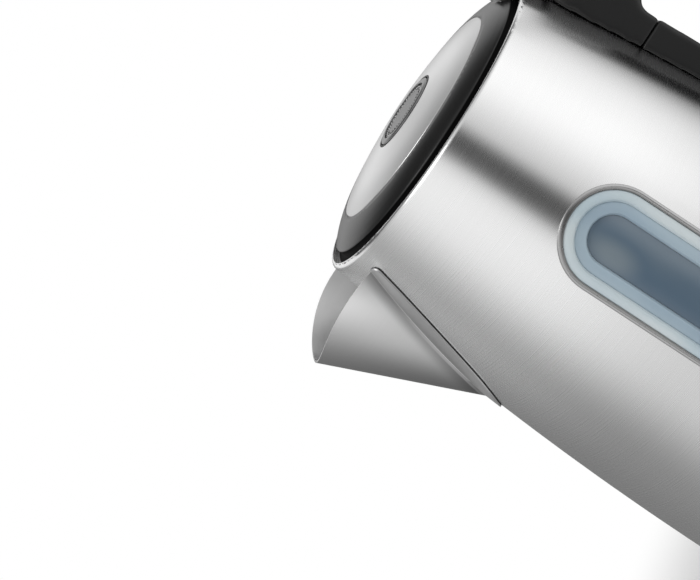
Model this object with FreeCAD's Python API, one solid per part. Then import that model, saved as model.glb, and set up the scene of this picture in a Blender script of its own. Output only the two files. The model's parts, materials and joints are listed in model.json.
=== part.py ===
"""Electric kettle: a tapered steel jug with a conical pouring spout, a hinged push-button lid,
a level window, a closed loop handle with a rocker switch, and a heated base.

Units are millimetres.  The origin is the centre of the face that the kettle rests on, +Z is up,
the spout points to -X, the handle to +X and the level window to -Y.
"""
import FreeCAD, Part
import math
import os

V = FreeCAD.Vector
UP, ALONG_X, ALONG_Y = V(0, 0, 1), V(1, 0, 0), V(0, 1, 0)

# Driving dimensions of the jug
Z_RIM = 208.0            # height of the rim plane
Z_SHELL = 22.0           # lower edge of the steel shell
BELLY_R = 75.0           # outer radius at the lower edge of the shell
SIDE_ARC = 1300.0        # radius of the gently curved side
WALL = 0.8               # steel sheet
RIM_ROLL = 1.63          # how far the rim turns in
SKIN_GAP = 0.1           # clearance between fixed pieces that follow the skin
RUN_GAP = 0.3            # clearance between pieces that move past each other

# Collar inside the neck
COLLAR_DEPTH = 7.0
COLLAR_HEIGHT = 4.0
COLLAR_LAND = 3.0        # how far the collar stands in from the mouth radius

# Lid
LID_GAP = 1.2            # visible gap between lid flange and mouth
RING_SHOULDER = 2.9      # width of the ledge round the lid
RING_EDGE_Z = 1.36       # lower outer edge of the ring, above the rim plane
RING_TOP_Z = 5.5         # inner upper edge of the ring
LEDGE_DROP = 2.0         # ledge below the rim plane
FLANGE_T = 1.6           # thickness of the lid flange
PLATE_R = 43.4
PLATE_TOP_Z = 9.6        # crown of the lid plate
PLATE_DOME = 232.0       # radius of its dome
PLATE_T = 1.0
PAN_R = 54.0             # lid pan outer radius
PAN_T = 1.2
PAN_DEPTH = 18.0         # underside of the pan, below the rim plane
LID_SCREW_PITCH_R = 43.0
SCREW_R = 1.4
SCREW_HEAD_R = 3.0
BOSS_R = 3.4

# Push button, stem and latch bolt
BUTTON_R = 14.6
BUTTON_TOP_Z = 9.74
BUTTON_T = 2.4
BUTTON_TRAVEL = 2.5
GUIDE_T = 0.7
STEM_R = 3.0
WEDGE_SLOPE = 0.8        # bolt travel for each unit of button travel
BOLT_W = 8.0
BOLT_T = 2.2
BOLT_DEPTH = 11.4        # top of the bolt below the rim plane
BOLT_NOSE_R = 55.3

# Lid hinge
HINGE_OUT = 5.37         # axis beyond the neck's outer radius
HINGE_UP = 4.0           # axis above the rim plane
HINGE_PIN_R = 1.5
PIN_FIT = 0.05
KNUCKLE_R = 3.2
KNUCKLE_HALF = 11.4
HINGE_EAR = 4.3

# Spout: half of an upright elliptical cone
SPOUT_X = -58.0          # axis of the cone
SPOUT_TOP = 9.7          # depth at which its two half widths are given
SPOUT_APEX = 108.2       # depth of the apex
SPOUT_A = 38.5           # half width along X
SPOUT_B = 31.5           # half width along Y
LIP_DEPTH = 6.6          # highest point of the lip, below the rim plane
LIP_ARC = 58.0
LIP_X = -66.3
FLANGE_TOP = 7.1
FLANGE_CORNER = 3.0
FLANGE_TIP = 81.5
FLANGE_HALF = ((34.8, FLANGE_TOP + FLANGE_CORNER), (33.8, 18.9), (31.2, 33.8), (27.1, 49.4),
               (20.0, 66.1), (10.8, 76.5))    # half widths of the flange at depths
POUR_TOP = 11.5          # top of the opening in the shell
POUR_IN = 3.0            # opening inside the cone
FILTER_BORDER = 3.0
FILTER_HOLE_R = 1.1
FILTER_PITCH = 3.8

# Level window
WINDOW_TOP = 66.6        # depth of the upper arc centre
WINDOW_BOTTOM = 138.0
BEZEL_W = 19.8
LENS_W = 17.8
STEP_W = 13.6
PANE_W = 8.9
HOLE_W = 18.8

# Handle
GRIP_IN = 104.0
GRIP_OUT = 125.0
HANDLE_HALF = 18.0
GRIP_HALF = 14.0
OPEN_TOP = 38.0
OPEN_BOTTOM = 142.0
SPINE_X = 77.2
SPINE_LEAN = 6.5         # how much further out the spine stands at its foot
HANDLE_END = 176.0
HANDLE_WALL = 3.0
SPINE_TOP = OPEN_TOP + 10.0
COVER_SCREWS = (OPEN_TOP + 22.0, OPEN_BOTTOM - 30.0)
COVER_END_TOP = OPEN_TOP + 12.0
COVER_END_LOW = OPEN_BOTTOM - 20.0
ROOM_TOP = 148.0         # hollow of the lower arm
ROOM_LOW = 163.8
BRACKET_HALF = 12.0
BRACKET_SCREW_Y = 8.0
BRACKET_SCREW_TOP = 16.5
BRACKET_SCREW_LOW = 32.0
HEAD_SEAT = 0.9          # a flat head's seat on the curved wall

# Steam path and the switch it works
TUBE_R = 2.4
TUBE_CLEAR = 2.1         # wall to tube at its two ends; the side bulges between them
STEAM_IN = 20.0
STEAM_OUT = 152.0
UNIT_X = 89.0
UNIT_T = 9.0
UNIT_HALF = 9.0
UNIT_LOW = 159.5
SWITCH_DEPTH = 154.0
SWITCH_X = 107.0
SWITCH_LENGTH = 26.0
SWITCH_W = 14.0
SWITCH_REST = 45.0       # the lever's lean at rest, from level
SWITCH_SWING = 12.0
LEVER_T = 4.8
LEVER_HUB = 3.8

# Base
BASE_R = BELLY_R + 1.2
BASE_LIP = 2.0           # how far the base ring laps over the shell
COVER_R = 70.0
COVER_Z = 1.2
COVER_T = 2.0
SOCKET_R = 21.0
COLLAR_Z = 7.2
PLATE_Z = 30.0
HEAT_T = 2.5
SEAL_W = 2.2
DIFFUSER_R = 60.0
DIFFUSER_T = 4.0
ELEMENT_R = 48.0
ELEMENT_TUBE = 4.0
BASE_SCREW_R = BELLY_R - 9.0
CONTROL_R = 27.0
CONTROL_EAR_R = 4.5
CONTROL_EARS_AT = 31.0


def side_r(z):
    """Outer radius of the steel side at height z."""
    return BELLY_R - (SIDE_ARC - math.sqrt(SIDE_ARC ** 2 - (z - Z_SHELL) ** 2))


NECK_R = side_r(Z_RIM)
MOUTH_R = NECK_R - RIM_ROLL
COLLAR_R = MOUTH_R - COLLAR_LAND
FLANGE_R = MOUTH_R - LID_GAP
RING_R = FLANGE_R - RING_SHOULDER
HINGE_X = NECK_R + HINGE_OUT
HINGE_Z = Z_RIM + HINGE_UP
PARTS = {}


def depth(h):
    """Height of a point that lies h below the rim plane."""
    return Z_RIM - h


def box(x0, x1, y0, y1, z0, z1):
    return Part.makeBox(x1 - x0, y1 - y0, z1 - z0, V(x0, y0, z0))


def cyl(r, x, y, z0, z1):
    return Part.makeCylinder(r, z1 - z0, V(x, y, z0), UP)


def tube(r_out, r_in, z0, z1, x=0.0, y=0.0):
    return cyl(r_out, x, y, z0, z1).cut(cyl(r_in, x, y, z0 - 1, z1 + 1))


def pin_y(r, x, z, y0, y1):
    return Part.makeCylinder(r, y1 - y0, V(x, y0, z), ALONG_Y)


def around(steps, r, start=0.0):
    """Evenly spaced points on a circle of radius r."""
    for i in range(steps):
        a = math.radians(start + 360.0 * i / steps)
        yield r * math.cos(a), r * math.sin(a)


def turned(points):
    """Solid of revolution about Z of a closed (radius, z) outline; ("via", radius, z) makes an arc."""
    edges = []
    here = points[0]
    middle = None
    for item in points[1:] + [points[0]]:
        if item[0] == "via":
            middle = V(item[1], 0, item[2])
            continue
        a, b = V(here[0], 0, here[1]), V(item[0], 0, item[1])
        edges.append(Part.Arc(a, middle, b).toShape() if middle else Part.makeLine(a, b))
        middle = None
        here = item
    return Part.Face(Part.Wire(edges)).revolve(V(0, 0, 0), UP, 360)


def skin(offset, z0, z1):
    """Solid bounded by the steel side moved outward by offset, between two heights."""
    mid = (z0 + z1) / 2
    outline = [(0, z0), (side_r(z0) + offset, z0), ("via", side_r(mid) + offset, mid),
               (side_r(z1) + offset, z1), (0, z1)]
    return turned(outline)


def layer(inner, outer, z0, z1):
    """Sheet that follows the steel side between two offsets."""
    return skin(outer, z0, z1).cut(skin(inner, z0 - 1, z1 + 1))


def rounded(corners):
    """Closed wire through (u, v, radius) corners, with tangent arcs, in the XZ plane."""
    edges = []
    count = len(corners)
    ends = []
    for i in range(count):
        u, v, r = corners[i]
        p = V(u, 0, v)
        before = V(corners[i - 1][0], 0, corners[i - 1][1]) - p
        after = V(corners[(i + 1) % count][0], 0, corners[(i + 1) % count][1]) - p
        before.normalize()
        after.normalize()
        half = before.getAngle(after) / 2
        reach = r / math.tan(half) if r else 0.0
        a, b = p + before * reach, p + after * reach
        bisector = before + after
        bisector.normalize()
        middle = p + bisector * (r / math.sin(half) - r) if r else p
        ends.append((a, middle, b, r))
    for i in range(count):
        a, middle, b, r = ends[i]
        if r:
            edges.append(Part.Arc(a, middle, b).toShape())
        start = ends[(i + 1) % count][0]
        if (start - b).Length > 1e-6:
            edges.append(Part.makeLine(b, start))
    return Part.Wire(edges)


def slab_xz(corners, half):
    """Rounded outline in the XZ plane, as thick as two halves about Y = 0."""
    face = Part.Face(rounded(corners))
    face.translate(V(0, -half, 0))
    return face.extrude(V(0, 2 * half, 0))


def side_view(corners, half):
    """Like slab_xz, with each corner's second value a depth below the rim."""
    return slab_xz([(u, depth(h), r) for u, h, r in corners], half)


def add(name, shape):
    """Keep one sub-part, as a clean solid or a compound of separate solids."""
    solids = [s for s in shape.Solids if s.Volume > 0.01]
    PARTS[name] = solids[0] if len(solids) == 1 else Part.makeCompound(solids)


# ---------------------------------------------------------------- jug

def spout_cone(extra_a, extra_b, top, bottom):
    """Elliptical cone between two depths, with its half widths grown by fixed amounts."""
    wires = []
    for h in (top, bottom):
        k = (SPOUT_APEX - h) / (SPOUT_APEX - SPOUT_TOP)
        a = max(SPOUT_A * k + extra_a, 0.3)
        b = max(SPOUT_B * k + extra_b, 0.3)
        centre = V(SPOUT_X, 0, depth(h))
        if a >= b:
            curve = Part.Ellipse(centre + V(a, 0, 0), centre + V(0, b, 0), centre)
        else:
            curve = Part.Ellipse(centre + V(0, b, 0), centre + V(-a, 0, 0), centre)
        wires.append(Part.Wire(curve.toShape()))
    return Part.makeLoft(wires, True, True)


def pour_mask(extra):
    """Region of the pouring opening, grown by extra all round."""
    grown = extra - POUR_IN
    cone = spout_cone(grown, grown, 0.0, SPOUT_APEX - 22.0)
    return cone.common(box(-BELLY_R - 20, -20, -60, 60, 0, depth(POUR_TOP - extra)))


def stadium(half, y0=-BELLY_R - 12, y1=-40.0):
    """Upright oblong through the front of the jug for the level window."""
    top, bottom = depth(WINDOW_TOP), depth(WINDOW_BOTTOM)
    middle = box(-half, half, y0, y1, bottom, top)
    return middle.fuse([pin_y(half, 0, top, y0, y1), pin_y(half, 0, bottom, y0, y1)])


def body_shell():
    turn_z = Z_RIM - RIM_ROLL
    mid = (Z_SHELL + turn_z) / 2
    k = math.sqrt(0.5)
    turn_out = side_r(turn_z)
    roll_in = turn_out - WALL
    small = roll_in - MOUTH_R
    outline = [(BELLY_R - WALL, Z_SHELL), (BELLY_R, Z_SHELL), ("via", side_r(mid), mid), (turn_out, turn_z),
               ("via", MOUTH_R + (turn_out - MOUTH_R) * k, turn_z + RIM_ROLL * k), (MOUTH_R, Z_RIM),
               (MOUTH_R, turn_z + small),
               ("via", MOUTH_R + small * k, turn_z + small * k), (roll_in, turn_z),
               ("via", side_r(mid) - WALL, mid)]
    shell = turned(outline)
    holes = [pour_mask(0.0), stadium(HOLE_W), screw_x(TUBE_R, BELLY_R - 20, BELLY_R, 0, depth(STEAM_IN))]
    for y, h in bracket_screw_places():
        holes.append(screw_x(SCREW_R + SKIN_GAP, BELLY_R - 25, BELLY_R + 5, y, depth(h)))
    for hole in holes:
        shell = shell.cut(hole)
    return shell


def flange_outline():
    """Shield shape of the spout's flange, as seen along the spout."""
    wide, top, turn = FLANGE_HALF[0][0], depth(FLANGE_TOP), FLANGE_CORNER
    sides = [V(y, 0, depth(h)) for y, h in FLANGE_HALF]
    mirrored = [V(-v.x, 0, v.z) for v in reversed(sides)]
    curve = Part.BSplineCurve()
    curve.interpolate(sides + [V(0, 0, depth(FLANGE_TIP))] + mirrored)
    part_way = turn * (1 - math.sqrt(0.5))
    corners = [Part.Arc(V(side * (wide - turn), 0, top), V(side * (wide - part_way), 0, top - part_way),
                        V(side * wide, 0, top - turn)).toShape() for side in (1, -1)]
    ledge = Part.makeLine(V(turn - wide, 0, top), V(wide - turn, 0, top))
    return Part.Wire(Part.__sortEdges__([ledge, corners[0], curve.toShape(), corners[1]]))


def spout():
    top, low = 0.0, SPOUT_APEX - 3.0
    outer = spout_cone(0, 0, top, low)
    inner = spout_cone(-WALL, -WALL, top - 1, low - 4)
    outside = box(-BELLY_R - 60, -10, -60, 60, depth(low), Z_RIM).cut(skin(SKIN_GAP, 60, Z_RIM + 5))
    lip = pin_y(LIP_ARC, LIP_X, depth(LIP_DEPTH) - LIP_ARC, -60, 60)
    wall = outer.cut(inner).common(outside).common(lip)
    shield = Part.Face(flange_outline())
    shield.rotate(V(0, 0, 0), UP, 90)
    shield.translate(V(-BELLY_R - 20, 0, 0))
    sheet = layer(SKIN_GAP, SKIN_GAP + WALL, depth(SPOUT_APEX - 8), depth(2.0))
    flange = sheet.common(shield.extrude(V(BELLY_R, 0, 0)))
    return wall.fuse(flange.cut(inner)).removeSplitter()


def filter_frame():
    band = layer(-WALL - SKIN_GAP - 1.6, -WALL - SKIN_GAP, depth(SPOUT_APEX), depth(POUR_TOP - 0.3))
    return band.common(pour_mask(FILTER_BORDER)).cut(pour_mask(-FILTER_BORDER))


def filter_mesh():
    inner = -WALL - SKIN_GAP - 1.0
    band = layer(inner - 0.4, inner, depth(SPOUT_APEX), depth(POUR_TOP))
    sheet = band.common(pour_mask(-FILTER_BORDER - SKIN_GAP))
    holes = []
    for row in range(24):
        h = POUR_TOP + FILTER_BORDER + 3.0 + row * FILTER_PITCH * 0.87
        k = (SPOUT_APEX - h) / (SPOUT_APEX - SPOUT_TOP)
        reach = SPOUT_B * k - POUR_IN - FILTER_BORDER - 3.8
        reach *= math.sqrt(max(0.0, 1 - ((side_r(depth(h)) + SPOUT_X) / (SPOUT_A * k)) ** 2))
        if reach < FILTER_PITCH / 2:
            break
        shift = FILTER_PITCH / 2 if row % 2 else 0.0
        count = int((reach + shift) / FILTER_PITCH)
        for i in range(-count, count + 1):
            y = i * FILTER_PITCH + (shift if i < 0 else -shift)
            if row % 2 and i == 0:
                continue
            holes.append(Part.makeCylinder(FILTER_HOLE_R, BELLY_R, V(-BELLY_R - 10, y, depth(h)), ALONG_X))
    return sheet.cut(holes)


def rim_collar():
    top, low = depth(COLLAR_DEPTH), depth(COLLAR_DEPTH + COLLAR_HEIGHT)
    ring = skin(-WALL - SKIN_GAP, low, top)
    return ring.cut(cyl(COLLAR_R, 0, 0, low - 1, top + 1))


def window_parts():
    z0, z1 = depth(WINDOW_BOTTOM + BEZEL_W + 8), depth(WINDOW_TOP - BEZEL_W - 8)

    def ring(outer, inner, low, high):
        sheet = layer(low, high, z0, z1).common(stadium(outer))
        return sheet.cut(stadium(inner)) if inner else sheet

    bezel = ring(BEZEL_W, LENS_W, SKIN_GAP, SKIN_GAP + 0.8)
    bezel = bezel.fuse(ring(HOLE_W - SKIN_GAP, LENS_W, -WALL - 1.6, SKIN_GAP + 0.4))
    add("window_bezel", bezel.removeSplitter())
    add("window_lens", ring(LENS_W - SKIN_GAP, STEP_W, -2.4, 0.35))
    add("window_step", ring(STEP_W - SKIN_GAP, PANE_W, -3.4, -1.0))
    add("window_pane", ring(PANE_W - SKIN_GAP, 0, -4.2, -2.6))
    add("window_seal", ring(BEZEL_W + 1.0, HOLE_W + 0.2, -WALL - 1.6, -WALL - SKIN_GAP))
    retainer = ring(BEZEL_W + 1.0, STEP_W + 1.0, -WALL - 3.0, -WALL - 1.7)
    add("window_retainer", retainer)


# ---------------------------------------------------------------- base

def heating():
    r_in = side_r(PLATE_Z) - WALL - SKIN_GAP
    plate_r = r_in - SEAL_W
    top = PLATE_Z + HEAT_T
    add("heating_plate", cyl(plate_r, 0, 0, PLATE_Z, top))
    seal = turned([(plate_r + SKIN_GAP, PLATE_Z - 0.1), (plate_r - 2, PLATE_Z - 0.1),
                   (plate_r - 2, PLATE_Z - 1.8), (r_in - 0.1, PLATE_Z - 1.8), (r_in - 0.1, top + 1.8),
                   (plate_r - 2, top + 1.8),
                   (plate_r - 2, top + 0.1), (plate_r + SKIN_GAP, top + 0.1)])
    add("plate_seal", seal)
    under = PLATE_Z - DIFFUSER_T
    add("diffuser_plate", cyl(DIFFUSER_R, 0, 0, under, PLATE_Z))
    z = under - ELEMENT_TUBE - SKIN_GAP
    circle = Part.Wire(Part.makeCircle(ELEMENT_TUBE, V(ELEMENT_R, 0, z), ALONG_Y))
    ring = Part.Face(circle).revolve(V(0, 0, 0), UP, 300)
    ring.rotate(V(0, 0, 0), UP, 30)
    add("element_tube", ring)
    ends = []
    for a in (30, 330):
        x, y = ELEMENT_R * math.cos(math.radians(a)), ELEMENT_R * math.sin(math.radians(a))
        pin = box(0, 12, -2.5, 2.5, z - 0.4, z + 0.4)
        pin.rotate(V(0, 0, 0), UP, a + (-90 if a < 180 else 90))
        pin.translate(V(x, y, 0))
        ends.append(pin)
    add("element_tabs", Part.makeCompound(ends))


def base_ring():
    lip = Z_SHELL + BASE_LIP
    ring = turned([(COVER_R + SKIN_GAP, 0), (BASE_R - 2.2, 0), ("via", BASE_R - 0.65, 0.65), (BASE_R, 2.2),
                   (BASE_R, lip - 0.6), (BASE_R - 0.6, lip), (BELLY_R + SKIN_GAP, lip),
                   (BELLY_R + SKIN_GAP, Z_SHELL), (BELLY_R - 2.5, Z_SHELL),
                   (BELLY_R - 2.5, COVER_Z + COVER_T),
                   (COVER_R + SKIN_GAP, COVER_Z + COVER_T)])
    for x, y in around(4, BELLY_R - 5.0, 45):
        ring = ring.fuse(cyl(4.0, x, y, COVER_Z + COVER_T + SKIN_GAP, Z_SHELL - 4))
    ring = ring.common(cyl(BASE_R, 0, 0, 0, lip))
    for x, y in around(4, BASE_SCREW_R, 45):
        ring = ring.cut(cyl(SCREW_R, x, y, 0, Z_SHELL - 6))
    return ring.removeSplitter()


def base_cover():
    top = COVER_Z + COVER_T
    cover = cyl(COVER_R, 0, 0, COVER_Z, top).fuse(cyl(SOCKET_R + 1.8, 0, 0, 0, COLLAR_Z))
    cover = cover.cut(cyl(SOCKET_R, 0, 0, -1, COLLAR_Z + 1))
    for x, y in around(4, BASE_SCREW_R, 45):
        cover = cover.cut(cyl(SCREW_R + SKIN_GAP, x, y, 0, top + 1))
    return cover


def base_screws():
    screws = []
    for x, y in around(4, BASE_SCREW_R, 45):
        shank = cyl(SCREW_R - 0.02, x, y, COVER_Z - 0.3, Z_SHELL - 7)
        screws.append(shank.fuse(cyl(SCREW_HEAD_R - 0.4, x, y, 0.2, COVER_Z)).removeSplitter())
    return Part.makeCompound(screws)


def control():
    low = COLLAR_Z + 4.0
    under = PLATE_Z - DIFFUSER_T
    body = cyl(CONTROL_R, 0, 0, low, under - 3.2)
    for x, y in around(3, CONTROL_EARS_AT, 90):
        body = body.fuse(cyl(CONTROL_EAR_R, x, y, low + 4, under - SKIN_GAP))
        body = body.cut(cyl(SCREW_R, x, y, 0, under + 1))
    body = body.cut(cyl(19.0, 0, 0, low - 1, low + 2.5))
    add("control_body", body.removeSplitter())
    screws = [cyl(SCREW_R - 0.02, x, y, low + 1, under - 0.3).fuse(cyl(SCREW_HEAD_R, x, y, low + 1, low + 3.9))
              for x, y in around(3, CONTROL_EARS_AT, 90)]
    add("control_screws", Part.makeCompound(screws))
    socket = tube(18.6, 16.8, COLLAR_Z + 0.4, low + 2.4).fuse(tube(9.5, 8.0, COLLAR_Z + 0.4, low + 2.4))
    socket = socket.fuse(cyl(18.6, 0, 0, low + 1.2, low + 2.4))
    add("connector_socket", socket.removeSplitter())
    contacts = [tube(13.6, 12.8, COLLAR_Z + 0.8, low + 1.1), cyl(2.4, 0, 0, COLLAR_Z + 0.8, low + 1.1),
                tube(6.0, 5.4, COLLAR_Z + 0.8, low + 1.1)]
    add("contact_rings", Part.makeCompound(contacts))
    discs = [tube(8.0, 1.0, under - 3.0, under - 2.6, x, 0) for x in (-13.0, 13.0)]
    add("bimetal_discs", Part.makeCompound(discs))


# ---------------------------------------------------------------- handle

def screw_x(r, x0, x1, y, z):
    return Part.makeCylinder(r, x1 - x0, V(x0, y, z), ALONG_X)


def bracket_screw_places():
    """Offset along Y and depth of each screw through the upper bracket."""
    for y in (-BRACKET_SCREW_Y, BRACKET_SCREW_Y):
        for h in (BRACKET_SCREW_TOP, BRACKET_SCREW_LOW):
            yield y, h


def handle_form():
    """Outer form of the loop: side view, plan and end view taken together."""
    side = side_view([(40, 8, 0), (88, 6, 60), (GRIP_OUT + 1, 10, 26), (GRIP_OUT - 2, OPEN_BOTTOM + 10, 24),
                      (96, HANDLE_END - 10, 24), (40, HANDLE_END, 0)], HANDLE_HALF)
    plan = Part.Face(plan_outline())
    solid = side.common(plan.extrude(V(0, 0, Z_RIM + 20)))
    arch = rounded([(-HANDLE_HALF, depth(5.0), 16.0), (HANDLE_HALF, depth(5.0), 16.0),
                    (HANDLE_HALF, depth(HANDLE_END + 3), 6), (-HANDLE_HALF, depth(HANDLE_END + 3), 6)])
    end = Part.Face(arch)
    end.rotate(V(0, 0, 0), UP, 90)
    return solid.common(end.extrude(V(GRIP_OUT + 20, 0, 0)))


def handle_envelope():
    """The form, fitted to the side of the jug."""
    return handle_form().cut(skin(SKIN_GAP, 10, Z_RIM + 1))


def plan_outline():
    """Half widths of the handle seen from above: broad at the jug, narrower at the grip."""
    corners = [(30, -HANDLE_HALF, 0), (82, -HANDLE_HALF, 30), (GRIP_IN - 4, -GRIP_HALF, 30),
               (GRIP_OUT + 3, -GRIP_HALF, 10), (GRIP_OUT + 3, GRIP_HALF, 10), (GRIP_IN - 4, GRIP_HALF, 30),
               (82, HANDLE_HALF, 30), (30, HANDLE_HALF, 0)]
    wire = rounded(corners)
    wire.rotate(V(0, 0, 0), ALONG_X, -90)
    return wire


def opening(extra=0.0):
    return side_view([(SPINE_X - extra, OPEN_TOP - extra, 5 + extra),
                      (GRIP_IN + 1 + extra, OPEN_TOP - extra, 10),
                      (GRIP_IN - 2 + extra, OPEN_BOTTOM - 8 + extra, 12),
                      (SPINE_X + SPINE_LEAN - extra, OPEN_BOTTOM + extra, 6)], HANDLE_HALF + 5)


def handle_parts():
    loop = handle_envelope().cut(opening())
    spine_zone = box(60, SPINE_X + SPINE_LEAN + 1.5, -30, 30, depth(OPEN_BOTTOM - 7), depth(SPINE_TOP))
    channel = tube_channel()
    cover_zone = box(GRIP_IN - 5, GRIP_IN + 5, -GRIP_HALF - 3, GRIP_HALF + 3,
                     depth(COVER_END_LOW), depth(COVER_END_TOP))
    hollow = slab_xz([(GRIP_IN + 3, depth(OPEN_TOP + 14), 0),
                      (GRIP_OUT - HANDLE_WALL - 2, depth(OPEN_TOP + 14), 4),
                      (GRIP_OUT - HANDLE_WALL - 4, depth(OPEN_BOTTOM - 22), 4),
                      (GRIP_IN + 3, depth(OPEN_BOTTOM - 22), 0)], GRIP_HALF - HANDLE_WALL)
    room = BRACKET_HALF + 0.5
    bracket_room = box(50, 86, -room, room, depth(36.5), depth(11.0)).cut(skin(0, 10, Z_RIM))
    low_room = box(50, 88, -room, room, depth(ROOM_LOW), depth(ROOM_TOP)).cut(skin(0, 10, Z_RIM))
    low_room = low_room.fuse(box(86, UNIT_X + UNIT_T + 0.5, -UNIT_HALF - 0.5, UNIT_HALF + 0.5,
                                 depth(UNIT_LOW + 0.5), depth(ROOM_TOP)))
    shell = loop.cut(spine_zone).cut(cover_zone).cut(hollow).cut(bracket_room).cut(low_room).cut(channel)
    shell = shell.cut(switch_room())
    shell = shell.cut(pin_y(HINGE_PIN_R, SWITCH_X, depth(SWITCH_DEPTH), -SWITCH_W / 2 - 4, SWITCH_W / 2 + 4))
    for h in COVER_SCREWS:
        shell = shell.cut(screw_x(SCREW_R, GRIP_IN, GRIP_OUT - 4, 0, depth(h)))
    spine = loop.common(spine_zone).cut(channel)
    trim = SKIN_GAP
    spine = spine.common(box(50, 120, -40, 40, depth(OPEN_BOTTOM - 7 - trim), depth(SPINE_TOP + trim)))
    cover = loop.common(box(GRIP_IN - 4.9, GRIP_IN + 4.9, -GRIP_HALF - 3, GRIP_HALF + 3,
                            depth(COVER_END_LOW - trim), depth(COVER_END_TOP + trim)))
    screws = []
    for h in COVER_SCREWS:
        cover = cover.cut(screw_x(SCREW_R + SKIN_GAP, GRIP_IN - 6, GRIP_IN + 6, 0, depth(h)))
        cover = cover.cut(screw_x(SCREW_HEAD_R + SKIN_GAP, GRIP_IN - 6, GRIP_IN + 2.4, 0, depth(h)))
        screws.append(screw_x(SCREW_R - 0.02, GRIP_IN + 1, GRIP_OUT - 5, 0, depth(h)).fuse(
            screw_x(SCREW_HEAD_R, GRIP_IN + 0.4, GRIP_IN + 2.3, 0, depth(h))))
    add("handle_shell", shell)
    add("handle_spine", spine)
    add("handle_cover", cover)
    add("handle_screws", Part.makeCompound(screws))


def brackets():
    """Steel brackets on the shell's skin that carry the handle's two ends, and their screws."""
    def bracket(top, low, reach):
        pad = layer(SKIN_GAP, SKIN_GAP + 1.2, depth(low), depth(top)).common(
            box(40, 90, -BRACKET_HALF, BRACKET_HALF, depth(low), depth(top)))
        tongue = box(60, reach, -BRACKET_HALF, BRACKET_HALF, depth(low), depth(low) + 1.6)
        tongue = tongue.cut(skin(SKIN_GAP + 0.6, 10, Z_RIM + 5))
        return pad.fuse(tongue).cut(tube_channel()).removeSplitter()
    upper = bracket(11.3, 36.2, 85.0)
    lower = bracket(ROOM_TOP + 0.8, ROOM_LOW - 0.4, 87.0)
    screws = []
    for y, h in bracket_screw_places():
        upper = upper.cut(screw_x(SCREW_R, 40, 90, y, depth(h)))
        seat = math.sqrt(side_r(depth(h)) ** 2 - y ** 2) - WALL - HEAD_SEAT
        head = screw_x(SCREW_HEAD_R, seat - 1.6, seat, y, depth(h))
        screws.append(head.fuse(screw_x(SCREW_R - 0.02, seat - 1, seat + 5, y, depth(h))))
    add("bracket_upper", upper)
    add("bracket_lower", lower)
    add("bracket_screws", Part.makeCompound(screws))


def tube_x(h):
    """Axis of the steam tube at a depth: the chord of the curved side, moved outward."""
    top, low = side_r(depth(STEAM_IN)), side_r(depth(STEAM_OUT))
    along = (h - STEAM_IN) / (STEAM_OUT - STEAM_IN)
    return top + (low - top) * along + TUBE_CLEAR + TUBE_R


def tube_channel():
    """Groove on the wall side of the handle that the steam tube lies in."""
    top, low = STEAM_IN - 5, OPEN_BOTTOM + 14
    room = TUBE_R + 0.8
    return side_view([(50, top, 0), (tube_x(top) + room, top, 0), (tube_x(low) + room, low, 0), (50, low, 0)],
                     room + 0.4)


def steam_path():
    """Steam inlet in the neck, and the tube that leads down inside the spine to the switch."""
    z_in, wall_x = depth(STEAM_IN), side_r(depth(STEAM_IN))
    start = V(tube_x(STEAM_IN - 1.5), 0, depth(STEAM_IN - 1.5))
    end = V(tube_x(STEAM_OUT), 0, depth(STEAM_OUT))
    run = end - start
    down = Part.makeCylinder(TUBE_R, run.Length, start, run)
    across = screw_x(TUBE_R - 0.1, wall_x - 4, tube_x(STEAM_IN), 0, z_in)
    solid = down.fuse(across)
    unit = V(run)
    unit.normalize()
    bore = Part.makeCylinder(TUBE_R - 0.7, run.Length, start + unit * 1.5, run)
    bore = bore.fuse(screw_x(TUBE_R - 0.8, wall_x - 6, tube_x(STEAM_IN), 0, z_in))
    return solid.cut(bore).removeSplitter()


def switch_unit():
    """Steam switch in the lower arm: its housing, and the snap disc that faces the steam tube."""
    housing = box(UNIT_X, UNIT_X + UNIT_T, -UNIT_HALF, UNIT_HALF, depth(UNIT_LOW), depth(ROOM_TOP + 0.3))
    middle = depth((UNIT_LOW + ROOM_TOP) / 2)
    housing = housing.cut(screw_x(4.0, UNIT_X - 1, UNIT_X + 1.5, 0, middle))
    add("steam_switch_unit", housing)
    add("steam_disc", screw_x(4.8, UNIT_X - 0.6, UNIT_X - 0.2, 0, middle).cut(
        screw_x(0.8, UNIT_X - 2, UNIT_X + 2, 0, middle)))


def lever_arm(half_y, half_t, length):
    return box(0, length, -half_y, half_y, -half_t, half_t)


def switch_placed(shape, angle):
    """Turn a shape made at the origin about the switch pin, and put it there."""
    shape.rotate(V(0, 0, 0), ALONG_Y, angle)
    shape.translate(V(SWITCH_X, 0, depth(SWITCH_DEPTH)))
    return shape


def switch_room():
    """Slot that the lever swings in: the arm at steps over its swing, and the hub."""
    half = SWITCH_W / 2 + RUN_GAP
    steps = [lever_arm(half, LEVER_T / 2 + 0.5, SWITCH_LENGTH + 20) for _ in range(5)]
    for i, arm in enumerate(steps):
        switch_placed(arm, SWITCH_REST - 1.5 + (SWITCH_SWING + 3) * i / 4)
    hub = pin_y(LEVER_HUB + 0.6, SWITCH_X, depth(SWITCH_DEPTH), -half, half)
    return hub.fuse(steps)


def switch_parts():
    half = SWITCH_W / 2
    tip = pin_y(LEVER_T / 2, SWITCH_LENGTH, 0, -half, half)
    lever = lever_arm(half, LEVER_T / 2, SWITCH_LENGTH).fuse([tip, pin_y(LEVER_HUB, 0, 0, -half, half)])
    lever = lever.cut(pin_y(HINGE_PIN_R + PIN_FIT, 0, 0, -half - 1, half + 1))
    add("switch_lever", switch_placed(lever.removeSplitter(), SWITCH_REST))
    add("switch_pin", pin_y(HINGE_PIN_R - 0.02, SWITCH_X, depth(SWITCH_DEPTH), -half - 3.5, half + 3.5))


# ---------------------------------------------------------------- hinge and lid

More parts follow.
